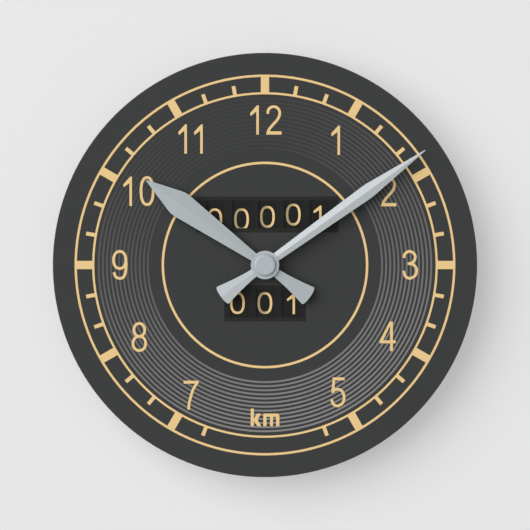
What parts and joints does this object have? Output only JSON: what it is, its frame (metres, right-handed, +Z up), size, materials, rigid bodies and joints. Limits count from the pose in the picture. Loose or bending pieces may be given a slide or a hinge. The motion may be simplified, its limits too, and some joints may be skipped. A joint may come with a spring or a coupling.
{
  "type": "round wall clock",
  "caption": "Round wall clock: printed acrylic disc with a speedometer-style dial, two folded hands and a boxed quartz movement with its cell and hanger behind.",
  "frame": {"origin": "centre of the hanger's round hole, in the plane of the wall", "axes": "front of the clock faces -Y, +Y into the wall, +Z up, twelve o'clock at +Z"},
  "size_m": [0.2032, 0.0325, 0.2032],
  "materials": {
    "acrylic_body": "dark gloss acrylic, cut and polished edge",
    "dial_ground": "satin printed ink",
    "scale_ink": "printed ink, warm cream",
    "groove_ink": "printed ink, grey",
    "window_ink": "printed ink, near black",
    "drum_ink": "printed ink, black",
    "rubber": "moulded rubber",
    "brass": "turned brass",
    "case_plastic": "moulded plastic, fine texture",
    "white_plastic": "moulded acetal",
    "natural_plastic": "moulded acetal wheel",
    "plated_steel": "nickel-plated spring steel",
    "arbor_steel": "ground steel",
    "board": "glass-fibre board with solder mask",
    "epoxy": "black epoxy",
    "lamination": "stamped soft iron",
    "copper": "enamelled copper wire",
    "magnet": "sintered magnet",
    "hand_metal": "painted blue-grey aluminium sheet",
    "cap_metal": "turned aluminium",
    "cell_can": null,
    "cell_jacket": "shrunk film, plain"
  },
  "bodies": {
    "movement": {"acrylic_disc": "acrylic_body", "face_print": "dial_ground", "scale_print": "scale_ink", "groove_print": "groove_ink", "window_print": "window_ink", "drum_print": "drum_ink", "rubber_washer": "rubber", "brass_washer": "brass", "hex_nut": "brass", "threaded_bushing": "brass", "case_front": "case_plastic", "case_back": "case_plastic", "middle_plate": "white_plastic", "contact_positive": "plated_steel", "contact_negative": "plated_steel", "circuit_board": "board", "chip_blob": "epoxy", "quartz_crystal": "plated_steel", "stator": "lamination", "coil_core": "lamination", "coil_bobbin": "white_plastic", "coil_winding": "copper"},
    "minute": {"minute_tube": "brass", "clutch_spring": "plated_steel", "minute_hand": "hand_metal", "minute_hand_boss": "cap_metal", "cap_nut": "cap_metal"},
    "hour": {"hour_wheel": "natural_plastic", "hour_hand": "hand_metal", "hour_hand_collet": "arbor_steel"},
    "motion_work": {"minute_wheel": "natural_plastic", "setting_knob": "white_plastic"},
    "centre": {"centre_wheel": "natural_plastic"},
    "third": {"third_wheel": "natural_plastic"},
    "second": {"second_wheel": "natural_plastic", "second_arbor": "arbor_steel"},
    "fifth": {"fifth_wheel": "natural_plastic"},
    "rotor": {"rotor_pinion": "natural_plastic", "rotor_magnet": "magnet"},
    "battery": {"battery_cell": "cell_can", "battery_jacket": "cell_jacket"}
  },
  "joints": [
    {"name": "minute_turn", "type": "hinge", "parent": "movement", "child": "minute", "pos_m": [0, 0, -0.034], "axis": [0, 1, 0], "continuous": true},
    {"name": "hour_turn", "type": "hinge", "parent": "movement", "child": "hour", "pos_m": [0, 0, -0.034], "axis": [0, 1, 0], "continuous": true},
    {"name": "motion_work_turn", "type": "hinge", "parent": "movement", "child": "motion_work", "pos_m": [0.00976, 0, -0.03139], "axis": [0, 1, 0], "continuous": true},
    {"name": "second_turn", "type": "hinge", "parent": "movement", "child": "second", "pos_m": [0, 0, -0.034], "axis": [0, 1, 0], "continuous": true},
    {"name": "centre_turn", "type": "hinge", "parent": "movement", "child": "centre", "pos_m": [0, 0, -0.034], "axis": [0, 1, 0], "continuous": true},
    {"name": "third_turn", "type": "hinge", "parent": "movement", "child": "third", "pos_m": [-0.00849, 0, -0.0291], "axis": [0, 1, 0], "continuous": true},
    {"name": "fifth_turn", "type": "hinge", "parent": "movement", "child": "fifth", "pos_m": [0.00385, 0, -0.02733], "axis": [0, 1, 0], "continuous": true},
    {"name": "rotor_turn", "type": "hinge", "parent": "movement", "child": "rotor", "pos_m": [0.0054, 0, -0.02154], "axis": [0, 1, 0], "continuous": true},
    {"name": "battery_slide", "type": "slide", "parent": "movement", "child": "battery", "axis": [0, 1, 0], "range_m": [0, 0.02]}
  ],
  "couplings": [
    {"joint": "hour_turn", "follows": "minute_turn", "ratio": 0.083333},
    {"joint": "motion_work_turn", "follows": "minute_turn", "ratio": -0.33333},
    {"joint": "centre_turn", "follows": "second_turn", "ratio": 0.016667},
    {"joint": "third_turn", "follows": "second_turn", "ratio": -0.13333},
    {"joint": "fifth_turn", "follows": "second_turn", "ratio": -6},
    {"joint": "rotor_turn", "follows": "second_turn", "ratio": 30}
  ]
}
